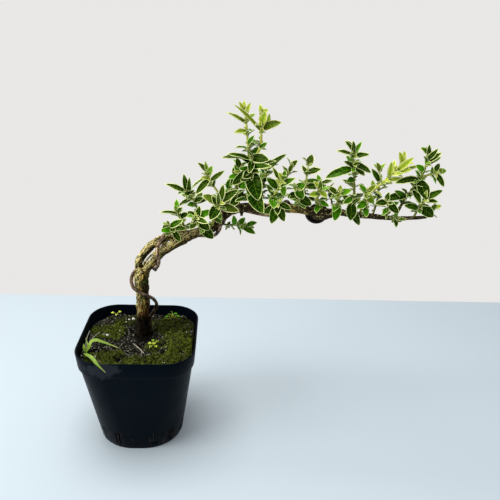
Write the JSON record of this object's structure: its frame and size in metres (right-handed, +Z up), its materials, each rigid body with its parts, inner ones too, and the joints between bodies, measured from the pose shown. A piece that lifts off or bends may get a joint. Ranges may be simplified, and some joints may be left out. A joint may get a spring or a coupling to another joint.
{
  "type": "serissa bonsai",
  "caption": "Small-leaved bonsai in a square nursery pot: upright forked trunk with one long level branch, variegated leafy shoots and a winding training wire.",
  "frame": {"origin": "centre of the pot's flat underside", "axes": "+Z up, +X along the level branch away from the trunk, +Y to the back of the plant"},
  "size_m": [0.2979, 0.1054, 0.298],
  "materials": {
    "pot_plastic": "thin black moulded plastic with a soft sheen",
    "potting_mix": "dark damp granular potting mix",
    "bark": "rough golden tan bark",
    "wire": "brown anodised",
    "leaf": "glossy green blade with a cream margin",
    "grass": "fresh light green",
    "dry_twig": "bleached and dry"
  },
  "bodies": {
    "root": {"fallen_twig": "dry_twig", "grass_weed": "grass", "pot": "pot_plastic", "soil": "potting_mix", "spray_arch_left": "leaf", "spray_back_centre": "leaf", "spray_back_right": "leaf", "spray_back_west": "leaf", "spray_bud_front": "leaf", "spray_bud_mid": "leaf", "spray_centre_left": "leaf", "spray_cluster": "leaf", "spray_drip": "leaf", "spray_end_tuft": "leaf", "spray_fork_tuft": "leaf", "spray_front_low": "leaf", "spray_hang_mid": "leaf", "spray_hang_right": "leaf", "spray_knob": "leaf", "spray_leader": "leaf", "spray_low_right": "leaf", "spray_mid_back": "leaf", "spray_rosette": "leaf", "spray_slim": "leaf", "spray_tall_mid": "leaf", "spray_tall_right": "leaf", "spray_under_twig": "leaf", "spray_upright": "leaf", "spray_west_front": "leaf", "spray_west_high": "leaf", "spray_west_low": "leaf", "spray_west_mid": "leaf", "spray_yellow": "leaf", "training_wire": "wire", "trunk": "bark"}
  },
  "joints": []
}
